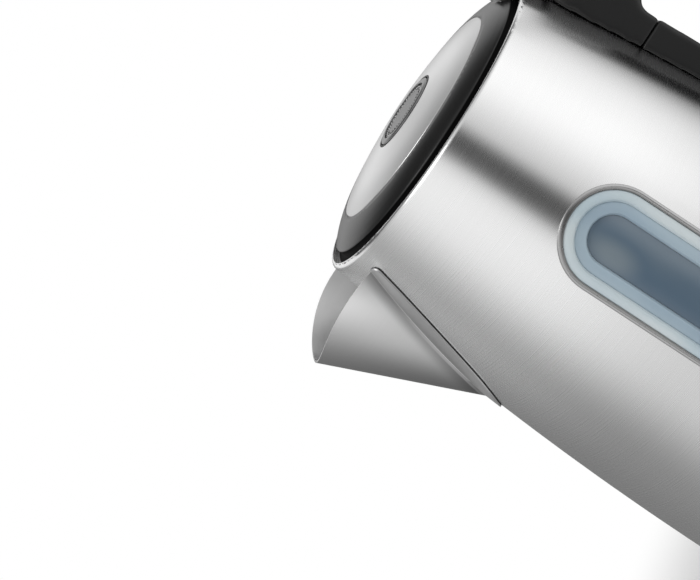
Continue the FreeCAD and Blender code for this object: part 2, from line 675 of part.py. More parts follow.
def hinge_block():
    """Ears on top of the handle root that hold the lid pin."""
    x, z = HINGE_X, HINGE_Z
    half = KNUCKLE_HALF + RUN_GAP + 4.5
    block = slab_xz([(x - 5, depth(8.5), 0), (x - 5, z + 1, 3), (x, z + HINGE_EAR, 4), (x + 6, z - 1, 5),
                     (x + 9, depth(8.5), 0)], half)
    block = block.cut(skin(SKIN_GAP, 100, Z_RIM - 0.001)).cut(cyl(NECK_R + 0.2, 0, 0, Z_RIM - 1, Z_RIM + 30))
    gap = KNUCKLE_HALF + RUN_GAP
    block = block.cut(box(x - 12, x + 20, -gap, gap, z - KNUCKLE_R - 0.8, z + 20))
    block = block.cut(pin_y(HINGE_PIN_R, x, z, -half - 1, half + 1))
    return block.cut(handle_envelope_top())


def handle_envelope_top():
    """What the handle's root takes up under the hinge block, with a thin joint line."""
    root = handle_form()
    root.translate(V(0, 0, SKIN_GAP))
    return root


def lid_ring():
    top = Z_RIM + RING_TOP_Z
    edge = Z_RIM + RING_EDGE_Z
    inner = PLATE_R + 0.15
    mid_r, mid_z = (inner + RING_R) / 2, (top + edge) / 2 + 0.55
    land = Z_RIM + 4.4
    ledge = depth(LEDGE_DROP)
    under = depth(LEDGE_DROP + FLANGE_T)
    ring = turned([(inner, top), ("via", mid_r, mid_z), (RING_R, edge), (RING_R, ledge),
                   (FLANGE_R - 0.3, ledge), (FLANGE_R, ledge - 0.3), (FLANGE_R, under),
                   (PAN_R - 2.5, under), (PAN_R - 2.5, ledge + 0.5),
                   (PLATE_R - 4, Z_RIM + 2.0), (PLATE_R - 4, land), (inner, land)])
    x, z = HINGE_X, HINGE_Z
    arm = box(RING_R - 4, x, -KNUCKLE_HALF, KNUCKLE_HALF, z - KNUCKLE_R, z + 1.2)
    arm = arm.fuse(pin_y(KNUCKLE_R, x, z, -KNUCKLE_HALF, KNUCKLE_HALF))
    arm = arm.cut(pin_y(HINGE_PIN_R + PIN_FIT, x, z, -KNUCKLE_HALF - 1, KNUCKLE_HALF + 1))
    ring = ring.fuse(arm)
    for px, py in around(3, LID_SCREW_PITCH_R):
        boss = cyl(BOSS_R, px, py, Z_RIM - 4.0, Z_RIM + 3.2)
        ring = ring.fuse(boss).cut(cyl(SCREW_R, px, py, Z_RIM - 10, Z_RIM + 3.0))
    return ring.removeSplitter()


def plate_z(r):
    return Z_RIM + PLATE_TOP_Z - (PLATE_DOME - math.sqrt(PLATE_DOME ** 2 - r ** 2))


def lid_plate():
    inner = BUTTON_R + RUN_GAP + GUIDE_T + SKIN_GAP
    mid = (inner + PLATE_R) / 2
    return turned([(inner, plate_z(inner)), ("via", mid, plate_z(mid)),
    (PLATE_R - 0.4, plate_z(PLATE_R - 0.4)),
                   (PLATE_R, plate_z(PLATE_R) - 0.4), (PLATE_R, plate_z(PLATE_R) - PLATE_T),
                   ("via", mid, plate_z(mid) - PLATE_T), (inner, plate_z(inner) - PLATE_T)])


def button_guide():
    r_in = BUTTON_R + RUN_GAP
    r_out = r_in + GUIDE_T
    top = plate_z(r_out) + 0.15
    floor = Z_RIM - 6.0
    flange = plate_z(r_out + 3.4) - PLATE_T - 0.1
    return turned([(r_in, top), (r_out, top), (r_out, flange), (r_out + 3.4, flange),
                   (r_out + 3.4, flange - 1.2), (r_out, flange - 1.2), (r_out, floor - 1.2),
                   (STEM_R + RUN_GAP, floor - 1.2),
                   (STEM_R + RUN_GAP, floor), (r_in, floor)])


def button_cap():
    top = Z_RIM + BUTTON_TOP_Z
    under = top - BUTTON_T
    cap = turned([(0, top), (11.3, top), (11.3, top - 0.35), (12.0, top - 0.35), (12.0, top),
                  (BUTTON_R - 0.5, top), (BUTTON_R, top - 0.5), (BUTTON_R, under - 3.0),
                  (BUTTON_R - 1.4, under - 3.0),
                  (BUTTON_R - 1.4, under), (0, under)])
    return cap


def button_stem():
    """Round stem under the cap; its foot is a two-sided wedge that works the bolt both ways."""
    top = Z_RIM + BUTTON_TOP_Z - BUTTON_T
    knee = depth(BOLT_DEPTH - BUTTON_TRAVEL - 0.8)
    foot = depth(BOLT_DEPTH + BOLT_T + 0.3)
    stem = cyl(STEM_R, 0, 0, knee, top)
    drop = knee - foot
    lean = drop * WEDGE_SLOPE
    wedge = slab_xz([(-2.4, knee + 0.5, 0), (2.4, knee + 0.5, 0), (2.4, knee, 0), (2.4 - lean, foot, 0),
                     (-2.4 - lean, foot, 0), (-2.4, knee, 0)], 1.6)
    return stem.fuse(wedge).removeSplitter()


def button_spring():
    """Coil under the cap, modelled as a helical wire with closed height to the guide's floor."""
    low, high = Z_RIM - 5.9 + 0.5, Z_RIM + BUTTON_TOP_Z - BUTTON_T - 0.6
    coil_r, wire_r, turns = 7.5, 0.5, 4
    path = Part.makeHelix((high - low) / turns, high - low, coil_r)
    path.translate(V(0, 0, low))
    profile = Part.Wire(Part.makeCircle(wire_r, V(coil_r, 0, low), ALONG_Y))
    return Part.Wire(path).makePipeShell([profile], True, True)


def latch_bolt():
    """Bar under the lid that slides back when the wedge comes down through its slanted slot."""
    top, low = depth(BOLT_DEPTH), depth(BOLT_DEPTH + BOLT_T)
    half = BOLT_W / 2
    bar = box(-BOLT_NOSE_R, 13.0, -half, half, low, top)
    knee = depth(BOLT_DEPTH - BUTTON_TRAVEL - 0.8)
    gap = RUN_GAP * 1.4
    def face_x(z, side):
        return side * (2.4 + gap) - (knee - z) * WEDGE_SLOPE
    slot = slab_xz([(face_x(top + 1, -1), top + 1, 0), (face_x(top + 1, 1), top + 1, 0),
                    (face_x(low - 1, 1), low - 1, 0), (face_x(low - 1, -1), low - 1, 0)], 1.6 + RUN_GAP)
    chamfer = slab_xz([(-BOLT_NOSE_R - 1, low - 1, 0), (-BOLT_NOSE_R + 2.2, low - 1, 0),
                       (-BOLT_NOSE_R - 1, low + 2.0, 0)], half + 1)
    return bar.cut(slot).cut(chamfer)


def lid_pan():
    floor_low, floor_top = depth(PAN_DEPTH), depth(PAN_DEPTH - PAN_T)
    head = depth(LEDGE_DROP + FLANGE_T + SKIN_GAP)
    seal_top = head - 1.5
    lip_r = FLANGE_R - 1.6
    pan = turned([(0, floor_low), (PAN_R - 3, floor_low), ("via", PAN_R - 0.88, floor_low + 0.88),
                  (PAN_R, floor_low + 3), (PAN_R, seal_top), (lip_r, seal_top), (lip_r, head),
                  (PAN_R - PAN_T, head), (PAN_R - PAN_T, floor_top), (0, floor_top)])
    for px, py in around(3, LID_SCREW_PITCH_R):
        pan = pan.fuse(cyl(BOSS_R, px, py, floor_low + 0.1, Z_RIM - 4.0 - SKIN_GAP))
        pan = pan.cut(cyl(SCREW_R + SKIN_GAP, px, py, floor_low - 1, Z_RIM))
    bolt_top, bolt_low = depth(BOLT_DEPTH), depth(BOLT_DEPTH + BOLT_T)
    half = BOLT_W / 2
    bed = box(-PAN_R + 1.0, -11.0, -half - 2.3, half + 2.3, floor_low + 0.1, bolt_top + 0.4)
    bed = bed.cut(box(-PAN_R - 5, 0, -half - RUN_GAP, half + RUN_GAP, bolt_low - RUN_GAP, bolt_top + 5))
    bed = bed.common(cyl(PAN_R - 0.5, 0, 0, 0, Z_RIM))
    pan = pan.fuse(bed)
    slot = box(-PAN_R - 5, -PAN_R + 6, -half - RUN_GAP, half + RUN_GAP, bolt_low - RUN_GAP, bolt_top + RUN_GAP)
    return pan.cut(slot).removeSplitter()


def lid_screws():
    screws = []
    for px, py in around(3, LID_SCREW_PITCH_R):
        low = depth(PAN_DEPTH)
        shank = cyl(SCREW_R - 0.02, px, py, low - 0.3, Z_RIM + 2.8)
        screws.append(shank.fuse(cyl(SCREW_HEAD_R, px, py, low - 1.6, low - 0.02)).removeSplitter())
    return Part.makeCompound(screws)


def lid_seal():
    top = depth(LEDGE_DROP + FLANGE_T + SKIN_GAP) - 1.6
    low = depth(COLLAR_DEPTH - RUN_GAP)
    return tube(FLANGE_R - 0.4, PAN_R + SKIN_GAP, low, top)


def hinge_pin():
    half = KNUCKLE_HALF + RUN_GAP + 4.4
    return pin_y(HINGE_PIN_R - 0.02, HINGE_X, HINGE_Z, -half, half)


def build():
    add("body_shell", body_shell())
    add("spout", spout())
    add("filter_frame", filter_frame())
    add("filter_mesh", filter_mesh())
    add("rim_collar", rim_collar())
    window_parts()
    heating()
    add("base_ring", base_ring())
    add("base_cover", base_cover())
    add("base_screws", base_screws())
    control()
    handle_parts()
    brackets()
    add("steam_tube", steam_path())
    switch_unit()
    switch_parts()
    add("hinge_block", hinge_block())
    add("hinge_pin", hinge_pin())
    add("lid_ring", lid_ring())
    add("lid_plate", lid_plate())
    add("lid_pan", lid_pan())
    add("lid_seal", lid_seal())
    add("lid_screws", lid_screws())
    add("button_guide", button_guide())
    add("button_cap", button_cap())
    add("button_stem", button_stem())
    add("button_spring", button_spring())
    add("latch_bolt", latch_bolt())
    os.makedirs("parts", exist_ok=True)
    for name, shape in PARTS.items():
        shape.exportStep("parts/" + name + ".step")
        b = shape.BoundBox
        print(f"{name:18s} solids {len(shape.Solids)} valid {shape.isValid()} "
              f"x {b.XMin:.1f}..{b.XMax:.1f} y {b.YMin:.1f}..{b.YMax:.1f} z {b.ZMin:.1f}..{b.ZMax:.1f}")


build()
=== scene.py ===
# %% [markdown]
# An electric kettle of brushed steel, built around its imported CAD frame.
# The frame holds every part with a real shape. This script gives each part its finish, and
# makes the few pieces whose surface detail is finer than the CAD: the knurled button, the
# softly rounded mouldings of the handle and the window's polished steps.

# %% Load the frame
import json
import math

import bmesh
import bpy
from mathutils import Matrix, Vector


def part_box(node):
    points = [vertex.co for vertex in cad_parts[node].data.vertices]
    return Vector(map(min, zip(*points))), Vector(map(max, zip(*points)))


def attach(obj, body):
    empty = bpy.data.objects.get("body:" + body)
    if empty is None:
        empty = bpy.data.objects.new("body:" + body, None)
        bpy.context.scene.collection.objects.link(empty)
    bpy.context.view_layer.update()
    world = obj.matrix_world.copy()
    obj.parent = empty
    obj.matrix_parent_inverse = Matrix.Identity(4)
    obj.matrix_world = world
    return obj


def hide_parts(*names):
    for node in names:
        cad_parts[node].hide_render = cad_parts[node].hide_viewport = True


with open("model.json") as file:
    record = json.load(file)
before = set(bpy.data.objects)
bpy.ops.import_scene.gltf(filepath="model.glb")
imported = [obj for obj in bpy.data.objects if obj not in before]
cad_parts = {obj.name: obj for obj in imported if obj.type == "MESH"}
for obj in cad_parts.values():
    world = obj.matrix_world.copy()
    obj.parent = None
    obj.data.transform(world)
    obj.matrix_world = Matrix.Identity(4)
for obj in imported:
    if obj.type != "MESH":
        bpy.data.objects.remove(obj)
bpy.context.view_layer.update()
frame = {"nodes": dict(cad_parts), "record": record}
nodes = frame["nodes"]
slot_of = {p["node"]: p["material_slot"] for p in frame["record"]["subparts"]}
colour_of = {m["slot"]: m["base_color"] for m in frame["record"]["materials"]}
MM = 0.001

# %% [markdown]
# Sizes that the pieces share are read from the frame where it holds them. The rim plane is
# the top of the shell, and the axis of the jug is the world's Z axis. The curve of the
# steel side isn't in the frame, so its three CAD values are repeated here, in metres.

# %% Places read from the frame
shell_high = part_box("body_shell")[1]
cap_low, cap_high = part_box("button_cap")
Z_RIM = shell_high.z
CAP_R = (cap_high.x - cap_low.x) / 2
CAP_TOP = cap_high.z
SIDE_ARC, BELLY_R, Z_BELLY = 1.300, 0.0750, 0.022


def side_r(z):
    """Radius of the gently curved steel side at a height."""
    return BELLY_R - (SIDE_ARC - math.sqrt(SIDE_ARC ** 2 - (z - Z_BELLY) ** 2))


print("rim at", round(Z_RIM, 4), "button radius", round(CAP_R, 4))

# %% [markdown]
# Shader maths reads best as plain expressions. One small class wraps a socket, and its
# operators add the Math nodes. A second helper adds any other node by its type.

# %% Shader expressions
class Val:
    """A socket in a node tree that understands + - * and a few functions."""

    def __init__(self, tree, socket):
        self.tree, self.socket = tree, socket

    def _math(self, operation, *values):
        node = self.tree.add("ShaderNodeMath", {"operation": operation}, *values)
        return node.out()

    def __add__(self, other): return self._math("ADD", self, other)
    def __radd__(self, other): return self._math("ADD", other, self)
    def __sub__(self, other): return self._math("SUBTRACT", self, other)
    def __rsub__(self, other): return self._math("SUBTRACT", other, self)
    def __mul__(self, other): return self._math("MULTIPLY", self, other)
    def __rmul__(self, other): return self._math("MULTIPLY", other, self)
    def __truediv__(self, other): return self._math("DIVIDE", self, other)
    def __pow__(self, other): return self._math("POWER", self, other)
    def maximum(self, other): return self._math("MAXIMUM", self, other)
    def atan2(self, other): return self._math("ARCTAN2", self, other)
    def sine(self): return self._math("SINE", self)


class Added:
    """One node just added, with its outputs by name or number."""

    def __init__(self, tree, node):
        self.tree, self.node = tree, node

    def out(self, which=0):
        return Val(self.tree, self.node.outputs[which])


class Tree:
    """A node tree that adds nodes from a type, its settings and its inputs."""

    def __init__(self, node_tree):
        self.nodes, self.links = node_tree.nodes, node_tree.links
        self.nodes.clear()

    def put(self, socket, value):
        if isinstance(value, Val):
            self.links.new(value.socket, socket)
        else:
            socket.default_value = value

    def add(self, kind, settings=None, *values, **named):
        node = self.nodes.new(kind)
        for key, value in (settings or {}).items():
            if key == "stops":
                ramp = node.color_ramp
                while len(ramp.elements) < len(value):
                    ramp.elements.new(0.5)
                for element, (at, colour) in zip(ramp.elements, value):
                    element.position, element.color = at, colour
            else:
                setattr(node, key, value)
        for i, value in enumerate(values):
            self.put(node.inputs[i], value)
        for key, value in named.items():
            self.put(node.inputs[key.replace("_", " ")], value)
        return Added(self, node)

    def where(self):
        """Object coordinates, in metres, split into x, y and z."""
        spot = self.add("ShaderNodeTexCoord").out("Object")
        axes = self.add("ShaderNodeSeparateXYZ", None, spot)
        return spot, axes.out("X"), axes.out("Y"), axes.out("Z")

    def stretched(self, spot, sx, sy, sz):
        return self.add("ShaderNodeMapping", None, Vector=spot, Scale=(sx, sy, sz)).out()

    def noise(self, vector, scale, detail=2.0, rough=0.5):
        node = self.add("ShaderNodeTexNoise", None, Vector=vector, Scale=scale, Detail=detail,
                        Roughness=rough)
        return node.out("Fac")

    def mix(self, factor, first, second):
        node = self.add("ShaderNodeMix", {"data_type": "RGBA"})
        self.put(node.node.inputs["Factor"], factor)
        self.put(node.node.inputs[6], first)
        self.put(node.node.inputs[7], second)
        return node.out(2)

    def smooth(self, value, low, high):
        settings = {"interpolation_type": "SMOOTHSTEP"}
        return self.add("ShaderNodeMapRange", settings, value, low, high).out()

    def bump(self, height, strength, distance):
        node = self.add("ShaderNodeBump", None, Height=height, Strength=strength, Distance=distance)
        return node.out()

    def finish(self, shader):
        output = self.add("ShaderNodeOutputMaterial")
        self.put(output.node.inputs["Surface"], shader)


def material(name):
    made = bpy.data.materials.new(name)
    made.use_nodes = True
    return made, Tree(made.node_tree)


def grey(v, blue=0.0):
    return (v, v, v * (1 + blue), 1.0)


# %% [markdown]
# Brushed steel is bright metal whose fine scratches all run one way. On the jug they run
# round the axis, so a reflection smears up and down into a tall streak. The scratches are
# noise that changes quickly along Z and slowly round the jug; anisotropy does the smear.

# %% Brushed steel
BRUSH_ACROSS = 5200.0     # scratches for each metre along the axis
BRUSH_ALONG = 26.0
KNURL_PITCH = 0.00080     # between the raised points on the button


def shell_shade(t, x, y, z):
    """The lower jug is a little duller than the neck."""
    return 0.74 + t.smooth(z, 0.085, 0.165) * 0.26


FLANGE_FACE = 0.0011      # all of the flange's face stands at least this far off the side


def spout_painted_shade(t, x, y, z):
    """Painted shade: the cone darkens from its lip to its tip and into its crease; the flange is
    a plainer, darker grey with a painted highlight on its cut edge, and a painted shadow line
    runs along its joint with the steel side.

    Along is the distance out and down the spout, and lift the height above the steel side."""
    along = 0.112 - x * 0.84 - z * 0.54
    # Painted shade: darker out along the spout.
    length_painted_shade = 1.0 - t.smooth(along, 0.058, 0.074) * 0.30 - t.smooth(along, 0.070, 0.100) * 0.34
    side = BELLY_R - (z - Z_BELLY) * (z - Z_BELLY) / (2 * SIDE_ARC)
    lift = (x * x + y * y) ** 0.5 - side
    # Painted shade on the cone, deepest in its crease beside the flange.
    cone_painted_shade = length_painted_shade * (0.58 + t.smooth(lift, 0.0017, 0.0058) * 0.42)
    on_cone = t.smooth(lift, 0.00165, 0.00200)
    # The flange's face is painted darker; its cut edge, below the face, stays lighter as a painted highlight.
    flange_painted_shade = 0.78 - t.smooth(lift, FLANGE_FACE - 0.0002, FLANGE_FACE) * 0.29
    # Painted shadow: a thin dark line where the flange meets the steel side.
    joint_painted_shadow = t.smooth(lift, 0.00020, 0.00045) * 0.95 + 0.05
    return joint_painted_shadow * (cone_painted_shade * on_cone + flange_painted_shade * (1.0 - on_cone))


def knurl_painted_shade(t, x, y, z):
    """Painted shade in the valleys between the raised points of the thumb disc."""
    wave = math.tau / (KNURL_PITCH * 2)
    points = ((x + y) * wave).sine() * ((x - y) * wave).sine()
    return 0.62 + t.smooth((points * points) ** 0.5, 0.05, 0.55) * 0.46


def plate_shade(t, x, y, z):
    """The lid plate is a little duller towards its edge."""
    radius = (x * x + y * y) ** 0.5
    return 1.0 - t.smooth(radius, 0.026, 0.0434) * 0.24


def brushed_steel(name, tone, rough, anisotropy, across=(BRUSH_ALONG, BRUSH_ALONG, BRUSH_ACROSS),
                  depth=0.02, shade=None):
    """Bright metal with scratches along one way, its tone varied over the piece by a shade."""
    made, t = material(name)
    spot, x, y, z = t.where()
    fine = t.noise(t.stretched(spot, *across), 1.0, 3.0, 0.6)
    broad = t.noise(t.stretched(spot, *[s * 0.12 for s in across]), 1.0, 2.0)
    cloud = t.noise(spot, 14.0, 2.0)
    streak = fine * 0.65 + broad * 0.35
    colour = t.mix(streak, grey(tone * 0.96), grey(tone * 1.04))
    # The shade scales the colour over the piece; on the spout and the thumb disc it is painted shade.
    if shade:
        level = shade(t, x, y, z)
        colour = t.add("ShaderNodeVectorMath", {"operation": "SCALE"}, colour, Scale=level).out()
    roughness = rough + (fine - 0.5) * 0.07 + (cloud - 0.5) * 0.03
    normal = t.bump(fine, depth, 0.00004)
    shader = t.add("ShaderNodeBsdfPrincipled", None, Base_Color=colour, Metallic=1.0, Roughness=roughness,
                   Anisotropic=anisotropy, Anisotropic_Rotation=0.25, Normal=normal)
    t.finish(shader.out())
    return made


# %% [markdown]
# Moulded plastic has a faint orange-peel skin, and black parts carry a little dust-grey
# variation in their sheen. Silicone, frosted plastic and plated screws follow the same
# pattern, with other tones and roughness.

# %% Plastics and small metals
def moulded(name, colour, rough, grain=900.0, depth=0.12, sheen=0.5):
    """Moulded plastic or rubber with a fine skin."""
    drift = 0.12
    made, t = material(name)
    spot, x, y, z = t.where()
    skin = t.noise(spot, grain, 3.0)
    patch = t.noise(spot, 22.0, 2.0)
    dark = tuple(c * (1 - drift) for c in colour[:3]) + (1.0,)
    light = tuple(min(c * (1 + drift), 1.0) for c in colour[:3]) + (1.0,)
    shader = t.add("ShaderNodeBsdfPrincipled", None, Base_Color=t.mix(patch, dark, light),
                   Roughness=rough + (patch - 0.5) * 0.10, Specular_IOR_Level=sheen,
                   Normal=t.bump(skin, depth, 0.00003))
    t.finish(shader.out())
    return made


def small_metal(name, colour, rough, grain=700.0):
    """Plain metal of small parts, with worn and dull spots."""
    made, t = material(name)
    spot, x, y, z = t.where()
    worn = t.noise(spot, grain, 4.0)
    dull = tuple(c * 0.85 for c in colour[:3]) + (1.0,)
    shader = t.add("ShaderNodeBsdfPrincipled", None, Base_Color=t.mix(worn, dull, tuple(colour[:3]) + (1.0,)),
                   Metallic=1.0, Roughness=rough + (worn - 0.5) * 0.15, Normal=t.bump(worn, 0.06, 0.00003))
    t.finish(shader.out())
    return made


# %% [markdown]
# The level window is one stepped moulding of clear plastic, lit blue from inside, drawn as
# opaque colours. Each step is deeper, so its colour is painted darker, as shade. The deepest
# pane carries a soft, pale blur of painted light where light falls on the far side of the
# jug, so its colour drifts slowly over its face.

# %% Window plastics
PAINTED_LIGHT_X, PAINTED_LIGHT_Z = -0.0045, 0.138      # centre of the pale blur on the pane


def window_plastic(name, deep, pale, rough, scale=30.0, coat=0.6, glow=False):
    made, t = material(name)
    spot, x, y, z = t.where()
    blur = t.noise(t.stretched(spot, 1.6, 1.6, 0.9), scale, 1.0)
    grain = t.noise(spot, 1400.0, 2.0)
    soft = t.smooth(blur, 0.38, 0.66)
    # Painted light: the deepest pane is paled round a point, where light falls on the far side.
    if glow:
        aside, above = x - PAINTED_LIGHT_X, z - PAINTED_LIGHT_Z
        apart = (aside * aside + above * above * 0.3) ** 0.5
        soft = soft * 0.3 + (1.0 - t.smooth(apart, 0.001, 0.0075)) * 0.7
    shader = t.add("ShaderNodeBsdfPrincipled", None, Base_Color=t.mix(soft, deep + (1.0,), pale + (1.0,)),
                   Roughness=rough + (grain - 0.5) * 0.08, Coat_Weight=coat, Coat_Roughness=0.08,
                   Normal=t.bump(grain, 0.05, 0.00003))
    t.finish(shader.out())
    return made


# %% [markdown]
# Each slot of the record gets one finish from the makers above. The black parts are a
# little brighter than pure black, as moulded plastic is, and the trim round the window is
# a darker metal than the jug.

# %% Every finish, by the record's slot
STEEL = 0.80
finishes = {   # tone, roughness and how strongly the brushing smears a reflection
    "steel_shell": brushed_steel("steel_shell", STEEL, 0.27, 0.82, shade=shell_shade),
    "steel_lid": brushed_steel("steel_lid", 0.77, 0.34, 0.35, (900.0, 900.0, 60.0), 0.03, plate_shade),
    "steel_inner": brushed_steel("steel_inner", 0.72, 0.30, 0.4),
    "steel_trim": brushed_steel("steel_trim", 0.42, 0.28, 0.2, (300.0, 300.0, 300.0), 0.02),
    "button_grey": brushed_steel("button_grey", 0.27, 0.36, 0.0, (700.0, 700.0, 700.0), 0.04),
    "spring_steel": small_metal("spring_steel", colour_of["spring_steel"], 0.3),
    "fastener": small_metal("fastener", colour_of["fastener"], 0.35),
    "contact_brass": small_metal("contact_brass", colour_of["contact_brass"], 0.3),
    "heat_aluminium": small_metal("heat_aluminium", colour_of["heat_aluminium"], 0.45, 300.0),
    "black_gloss": moulded("black_gloss", (0.012, 0.012, 0.0122), 0.34, 1100.0, 0.05, sheen=0.4),
    "black_matte": moulded("black_matte", (0.012, 0.012, 0.0125), 0.50, 1300.0, 0.2, sheen=0.4),
    "silicone": moulded("silicone", colour_of["silicone"], 0.55),
    "control_plastic": moulded("control_plastic", colour_of["control_plastic"], 0.5),
    "frosted": window_plastic("frosted", (0.47, 0.57, 0.62), (0.60, 0.67, 0.69), 0.30),
    "mid_blue": window_plastic("mid_blue", (0.33, 0.43, 0.51), (0.38, 0.48, 0.55), 0.25),
    "deep_blue": window_plastic("deep_blue", (0.095, 0.145, 0.20), (0.23, 0.275, 0.30), 0.16, 26.0,
                                1.0, True),
}
# The spout's outer steel carries painted shade; its inner wall is a darker copy, also painted shade.
spout_steel_painted_shade = brushed_steel("spout_steel_painted_shade", 0.82, 0.40, 0.35, shade=spout_painted_shade)
spout_inside_painted_shade = brushed_steel("spout_inside_painted_shade", 0.54, 0.42, 0.30)
# The thumb disc's grey carries painted shade in its valleys.
thumb_grey_painted_shade = brushed_steel("thumb_grey_painted_shade", 0.26, 0.40, 0.0, (700.0, 700.0, 700.0), 0.04, knurl_painted_shade)


# %% [markdown]
# The lid ring is glossy above, but its side stands in a narrow gap where hardly any light
# reaches. The two are one moulding, mixed by height: gloss above the edge, and below it a
# darker, matt copy that is painted shade.

# %% Lid ring finish
def ring_finish():
    """Gloss above the ring's edge, and painted shade, a darker matt copy, on its side."""
    made, t = material("ring_black_and_painted_shade")
    spot, x, y, z = t.where()
    skin = t.noise(spot, 1100.0, 3.0)
    patch = t.noise(spot, 22.0, 2.0)
    gloss = t.add("ShaderNodeBsdfPrincipled", None, Base_Color=t.mix(patch, grey(0.0055), grey(0.0075)),
                  Roughness=0.29 + patch * 0.06, Specular_IOR_Level=0.38, Normal=t.bump(skin, 0.05, 0.00003))
    # Painted shade: a darker, matt copy of the black for the ring's side down in the gap.
    deep = t.add("ShaderNodeBsdfPrincipled", None, Base_Color=t.mix(patch, grey(0.0012), grey(0.0022)),
                 Roughness=0.6 + patch * 0.05, Specular_IOR_Level=0.04)
    above = t.smooth(z, Z_RIM + 0.00085, Z_RIM + 0.00120)
    t.finish(t.add("ShaderNodeMixShader", None, above, deep.out(), gloss.out()).out())
    return made


ring_black_and_painted_shade = ring_finish()
own_finish = {"spout": spout_steel_painted_shade, "lid_ring": ring_black_and_painted_shade}
for node, thing in nodes.items():
    for place in thing.material_slots:
        place.material = own_finish.get(node, finishes[slot_of[node]])
print("finishes", len(finishes))

# %% [markdown]
# Small helpers for pieces. A piece is finished at the origin, unturned, with its place in
# its mesh. A copy of a CAD mesh is welded first, because that mesh is loose triangles.

# %% Making pieces
def new_piece(name, bm, slot, body, crease=30):
    """Object from a mesh, shaded smooth except where faces meet at more than the crease angle."""
    mesh = bpy.data.meshes.new(name)
    bm.to_mesh(mesh)
    bm.free()
    made = bpy.data.objects.new(name, mesh)
    bpy.context.collection.objects.link(made)
    mesh.materials.append(finishes[slot])
    for face in mesh.polygons:
        face.use_smooth = True
    mesh.set_sharp_from_angle(angle=math.radians(crease))
    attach(made, body)
    return made


def cad_copy(node):
    """Welded copy of a CAD node's mesh."""
    bm = bmesh.new()
    bm.from_mesh(nodes[node].data)
    bmesh.ops.remove_doubles(bm, verts=bm.verts, dist=0.000002)
    return bm


def spun(outline, steps=160):
    """Solid of revolution about Z from (radius, z) points that start and end on the axis."""
    bm = bmesh.new()
    line = [bm.verts.new((r, 0, z)) for r, z in outline]
    edges = [bm.edges.new(pair) for pair in zip(line, line[1:])]
    bmesh.ops.spin(bm, geom=line + edges, cent=(0, 0, 0), axis=(0, 0, 1), angle=math.tau, steps=steps,
                   use_merge=True, dvec=(0, 0, 0))
    bmesh.ops.remove_doubles(bm, verts=bm.verts, dist=0.000001)
    bmesh.ops.recalc_face_normals(bm, faces=bm.faces)
    return bm


def body_of(node):
    """The moving body that a node belongs to."""
    bodies = frame["record"]["behaviour"]["bodies"]
    return next(body for body, members in bodies.items() if node in members)


# %% [markdown]
# The push button is a shallow metal cap: a satin outer ring, a dark groove, a circle of
# small beads, and a knurled disc for the thumb. The cap is spun from its outline, and the
# beads are one small sphere repeated round a circle.

# %% Button cap
BEAD_RING = 0.0107
BEAD_R = 0.00048
BEADS = 44
GROOVE_IN, GROOVE_OUT = 0.0115, 0.0121
FACE_DROP = 0.0007        # the thumb disc's face, below the outer ring
SKIRT = 0.0014            # thickness of the cap's side wall


def button_cap():
    top, low = CAP_TOP, cap_low.z
    under = top - 0.0024
    outline = [(0, top - FACE_DROP), (GROOVE_IN, top - FACE_DROP), (GROOVE_IN, top - 0.0013),
               (GROOVE_OUT, top - 0.0013), (GROOVE_OUT, top - 0.0002), (GROOVE_OUT + 0.0002, top),
               (CAP_R - 0.0007, top - 0.0001), (CAP_R - 0.0002, top - 0.0004),
               (CAP_R, top - 0.0009), (CAP_R, low), (CAP_R - SKIRT, low), (CAP_R - SKIRT, under),
               (0, under)]
    made = new_piece("button_cap_face", spun(outline), "button_grey", "lid_button")
    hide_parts("button_cap")
    return made


def button_beads():
    bm = bmesh.new()
    for i in range(BEADS):
        a = math.tau * i / BEADS
        spot = Matrix.Translation((BEAD_RING * math.cos(a), BEAD_RING * math.sin(a), CAP_TOP - FACE_DROP))
        bmesh.ops.create_uvsphere(bm, u_segments=8, v_segments=5, radius=BEAD_R, matrix=spot)
    return new_piece("button_beads", bm, "button_grey", "lid_button")


def button_knurl():
    """A grid of small raised points, trimmed to a circle inside the beads."""
    radius = BEAD_RING - 0.0007
    count = int(2 * radius / KNURL_PITCH)
    bm = bmesh.new()
    bmesh.ops.create_grid(bm, x_segments=count, y_segments=count, size=radius)
    bmesh.ops.rotate(bm, verts=bm.verts, matrix=Matrix.Rotation(math.radians(45), 3, "Z"))
    step = 2 * radius / count
    turn = Matrix.Rotation(math.radians(-45), 3, "Z")
    for v in bm.verts:
        flat = turn @ v.co
        i, j = round((flat.x + radius) / step), round((flat.y + radius) / step)
        v.co.z = CAP_TOP - FACE_DROP + (0.00055 if (i + j) % 2 else 0.0001)
    outside = [v for v in bm.verts if math.hypot(v.co.x, v.co.y) > radius]
    bmesh.ops.delete(bm, geom=outside, context="VERTS")
    skirt = bmesh.ops.extrude_edge_only(bm, edges=[e for e in bm.edges if e.is_boundary])["geom"]
    for v in [g for g in skirt if isinstance(g, bmesh.types.BMVert)]:
        v.co.z = CAP_TOP - FACE_DROP - 0.0002
    bmesh.ops.holes_fill(bm, edges=[e for e in bm.edges if e.is_boundary], sides=0)
    bmesh.ops.recalc_face_normals(bm, faces=bm.faces)
    made = new_piece("button_knurl", bm, "button_grey", "lid_button", 10)
    made.data.materials[0] = thumb_grey_painted_shade


button_cap()
button_beads()
button_knurl()

# %% [markdown]
# The handle is a moulding with generous soft edges, while its CAD solid is cut from crossing
# outlines and has sharp ones. A voxel remesh of a welded copy, then smoothing, rounds every
# edge alike, as the tool that makes such mouldings does. The copy shrinks by the rounding
# only, so it stays inside the CAD solid.

